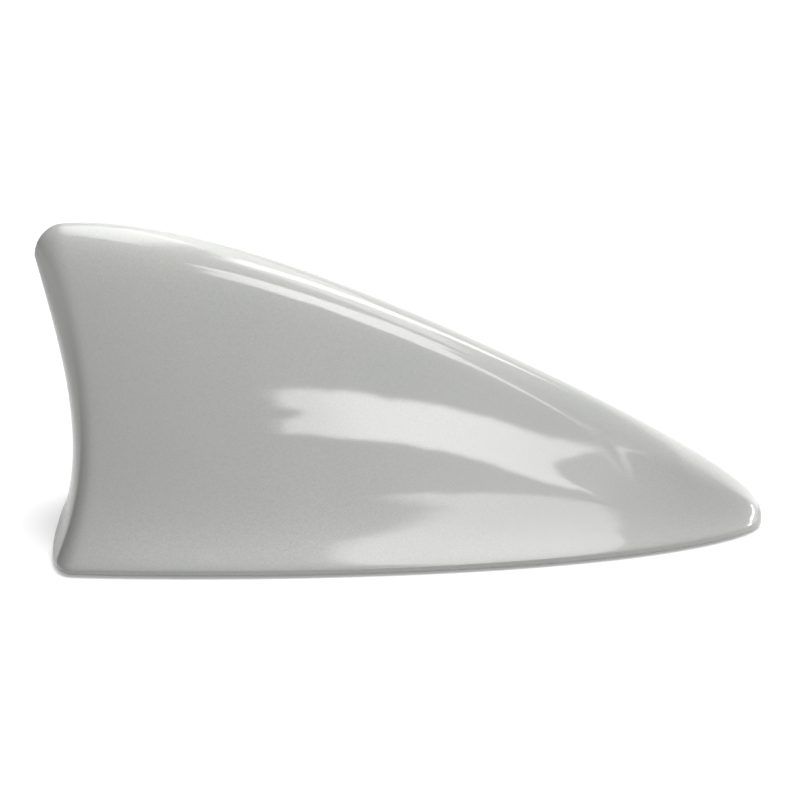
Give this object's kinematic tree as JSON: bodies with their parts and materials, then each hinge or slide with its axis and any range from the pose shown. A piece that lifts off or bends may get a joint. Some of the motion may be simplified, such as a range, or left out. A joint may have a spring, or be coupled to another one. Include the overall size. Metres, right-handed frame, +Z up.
{
  "type": "shark fin aerial",
  "caption": "Stick-on roof aerial in a gloss silver fin-shaped cover, on a moulded base with foam tape and a bore that goes over the foot of the old aerial.",
  "frame": {"origin": "middle of the foot's length and width, on the roof face under the foam tape", "axes": "+X towards the nose, +Z up from the roof"},
  "size_m": [0.165, 0.075, 0.0715],
  "materials": {
    "cover_paint": "gloss silver paint",
    "base_black": "fine moulded grain",
    "seal_rubber": "soft rubber",
    "foam_tape": "closed foam",
    "board_green": "solder mask",
    "holder_white": "moulded",
    "tin_sheet": "tinned",
    "nickel_brass": "plated",
    "copper_wire": "enamelled",
    "chip_black": "moulded epoxy",
    "chip_ceramic": "fired ceramic",
    "ferrite": "sintered",
    "screw_steel": "zinc plated"
  },
  "bodies": {
    "root": {"fin_shell": "cover_paint", "base_plate": "base_black", "seal_gasket": "seal_rubber", "adhesive_pad": "foam_tape", "foot_seal": "seal_rubber", "earth_plate": "tin_sheet", "circuit_board": "board_green", "element_holder": "holder_white", "top_element": "tin_sheet", "aerial_coil": "copper_wire", "feed_clip": "nickel_brass", "contact_barrel": "nickel_brass", "contact_plunger": "nickel_brass", "shield_can": "tin_sheet", "amplifier_chip": "chip_black", "chip_capacitors": "chip_ceramic", "chip_resistors": "chip_black", "choke_coils": "ferrite", "surge_arrester": "chip_ceramic", "rattle_pads": "foam_tape", "board_screws": "screw_steel", "cover_screws": "screw_steel"}
  },
  "joints": []
}
